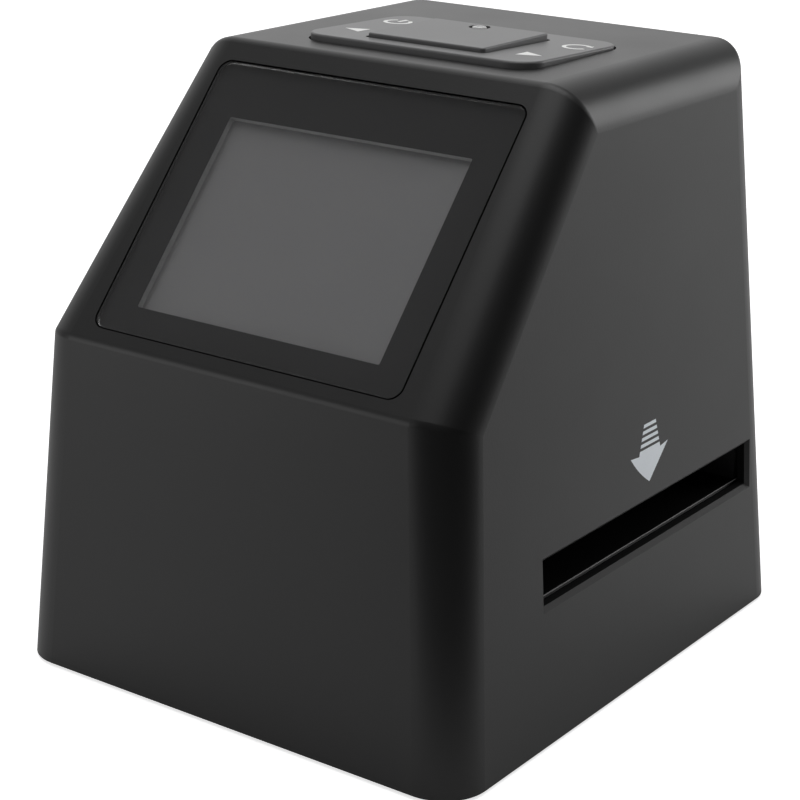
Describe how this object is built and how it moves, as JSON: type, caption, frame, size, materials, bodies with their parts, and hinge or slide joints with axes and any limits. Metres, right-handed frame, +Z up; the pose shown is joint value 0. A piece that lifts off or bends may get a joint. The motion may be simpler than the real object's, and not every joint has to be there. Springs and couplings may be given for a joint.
{
  "type": "film negative scanner",
  "caption": "Small upright scanner with a drafted body, a sloping display, rocking keys on top and a straight film slot through both sides over a light box.",
  "frame": {"origin": "on the table, under the middle of the footprint", "axes": "+Z up, +Y to the back, +X to the right as the user faces the display, film slides along X"},
  "size_m": [0.095, 0.1116, 0.1092],
  "materials": {
    "body_plastic": "fine satin moulded plastic, black grey",
    "key_plastic": "satin moulded plastic, dark grey",
    "window_clear": "clear polished acrylic sheet",
    "print_black": "black print seen through the clear window",
    "foam_black": "black closed foam",
    "panel_grey": "switched-off display, dark grey",
    "chassis_plastic": "black moulded plastic",
    "screw_steel": "zinc plated steel",
    "spring_steel": "bright spring steel",
    "ball_steel": "polished ball",
    "soft_rubber": "black rubber",
    "ribbon_film": "amber flexible film",
    "board_green": "green solder mask",
    "chip_black": "moulded chip packages",
    "switch_plastic": "black switch bodies",
    "connector_ivory": "ivory connector bodies",
    "light_rod_clear": "clear light rod",
    "lamp_white": "white lamp bodies",
    "tray_white": "white moulded plastic",
    "diffuser_opal": "opal diffusing sheet",
    "barrel_black": "black anodised tube",
    "lens_glass": "coated optical glass",
    "socket_steel": "tin plated steel shells",
    "capacitor_can": "drawn aluminium cans"
  },
  "bodies": {
    "case": {"main_housing": "body_plastic", "base_plate": "body_plastic", "screen_window": "window_clear", "window_print": "print_black", "screen_gasket": "foam_black", "lcd_panel": "panel_grey", "lcd_frame": "chassis_plastic", "film_bed": "chassis_plastic", "film_rails": "chassis_plastic", "film_roof": "chassis_plastic", "camera_tower": "chassis_plastic", "lens_holder": "chassis_plastic", "catch_plug": "chassis_plastic", "base_screws": "screw_steel", "lcd_frame_screws": "screw_steel", "key_board_screws": "screw_steel", "chassis_screws": "screw_steel", "light_box_screws": "screw_steel", "tower_screws": "screw_steel", "sensor_screws": "screw_steel", "board_screws": "screw_steel", "catch_spring": "spring_steel", "rubber_feet": "soft_rubber", "lcd_ribbon": "ribbon_film", "sensor_ribbon": "ribbon_film", "key_ribbon": "ribbon_film", "main_board": "board_green", "key_board": "board_green", "sensor_board": "board_green", "lamp_board": "board_green", "board_chips": "chip_black", "image_sensor": "chip_black", "key_switches": "switch_plastic", "ribbon_connectors": "connector_ivory", "backlight_lamps": "lamp_white", "status_lamp": "lamp_white", "light_box": "tray_white", "diffuser": "diffuser_opal", "lens_barrel": "barrel_black", "lens_elements": "lens_glass", "infrared_filter": "lens_glass", "card_socket": "socket_steel", "usb_socket": "socket_steel", "board_capacitors": "capacitor_can"},
    "key_ring": {"key_ring": "soft_rubber"},
    "key_plate": {"key_plate": "key_plastic"},
    "ok_key": {"ok_key": "key_plastic", "status_light_rod": "light_rod_clear", "ok_plunger": "switch_plastic"},
    "catch_ball": {"catch_ball": "ball_steel"}
  },
  "joints": [
    {"name": "plate_pitch", "type": "hinge", "parent": "case", "child": "key_ring", "pos_m": [0.0011, 0.0082, 0.1004], "axis": [1, 0, 0], "range_deg": [-1.2, 1.2], "stiffness_Nm_per_rad": 2.5},
    {"name": "plate_roll", "type": "hinge", "parent": "key_ring", "child": "key_plate", "pos_m": [0.0011, 0.0082, 0.1004], "axis": [0, 1, 0], "range_deg": [-0.8, 0.8], "stiffness_Nm_per_rad": 2.5},
    {"name": "ok_press", "type": "slide", "parent": "case", "child": "ok_key", "axis": [0, 0, -1], "range_m": [0, 0.0005], "stiffness_N_per_m": 4000},
    {"name": "catch_lift", "type": "slide", "parent": "case", "child": "catch_ball", "axis": [0, 0, 1], "range_m": [0, 0.0009], "stiffness_N_per_m": 600, "deforming": ["catch_spring"]}
  ]
}
